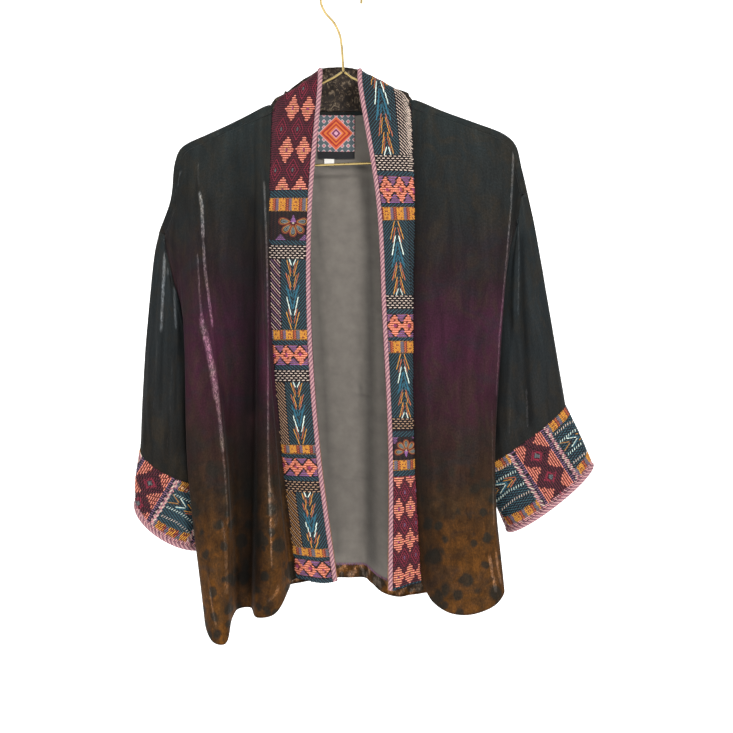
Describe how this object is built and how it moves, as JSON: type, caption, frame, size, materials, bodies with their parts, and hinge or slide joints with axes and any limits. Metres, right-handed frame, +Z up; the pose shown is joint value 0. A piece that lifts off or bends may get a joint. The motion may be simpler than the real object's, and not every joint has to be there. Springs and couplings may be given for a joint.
{
  "type": "kimono jacket on hanger",
  "caption": "Open-front velvet kimono jacket with embroidered bands and cuffs and a back lining, hung on a thin wire hanger.",
  "frame": {"origin": "inside top of the hanger's hook, where a rail or peg holds it", "axes": "+Z up, +X to the left of someone facing away in the jacket's own front view, that is to the viewer's right, +Y from the jacket's front to its back"},
  "size_m": [0.6013, 0.105, 0.8531],
  "materials": {
    "velvet": "crushed velvet shading from charcoal teal through plum to rust, with small dark spots near the hem",
    "neck_velvet": "crushed brown velvet",
    "lining": "matt warm grey lining",
    "embroidery": "dense thread embroidery in burgundy, salmon, navy, teal, gold and cream",
    "braid": "twisted pink and mauve braid",
    "label": "woven label with plain nested lozenges",
    "tab": "blank woven tab",
    "brass_wire": "thin drawn brass wire"
  },
  "bodies": {
    "root": {"back": "velvet", "front_right": "velvet", "front_left": "velvet", "sleeve_right": "velvet", "sleeve_left": "velvet", "neck_band": "neck_velvet", "back_lining": "lining", "band_right": "embroidery", "band_left": "embroidery", "cuff_right": "embroidery", "cuff_left": "embroidery", "braid_right": "braid", "braid_left": "braid", "cuff_braid_right": "braid", "cuff_braid_left": "braid", "neck_label": "label", "size_tab": "tab", "hanger_frame": "brass_wire", "hanger_hook": "brass_wire"}
  },
  "joints": []
}
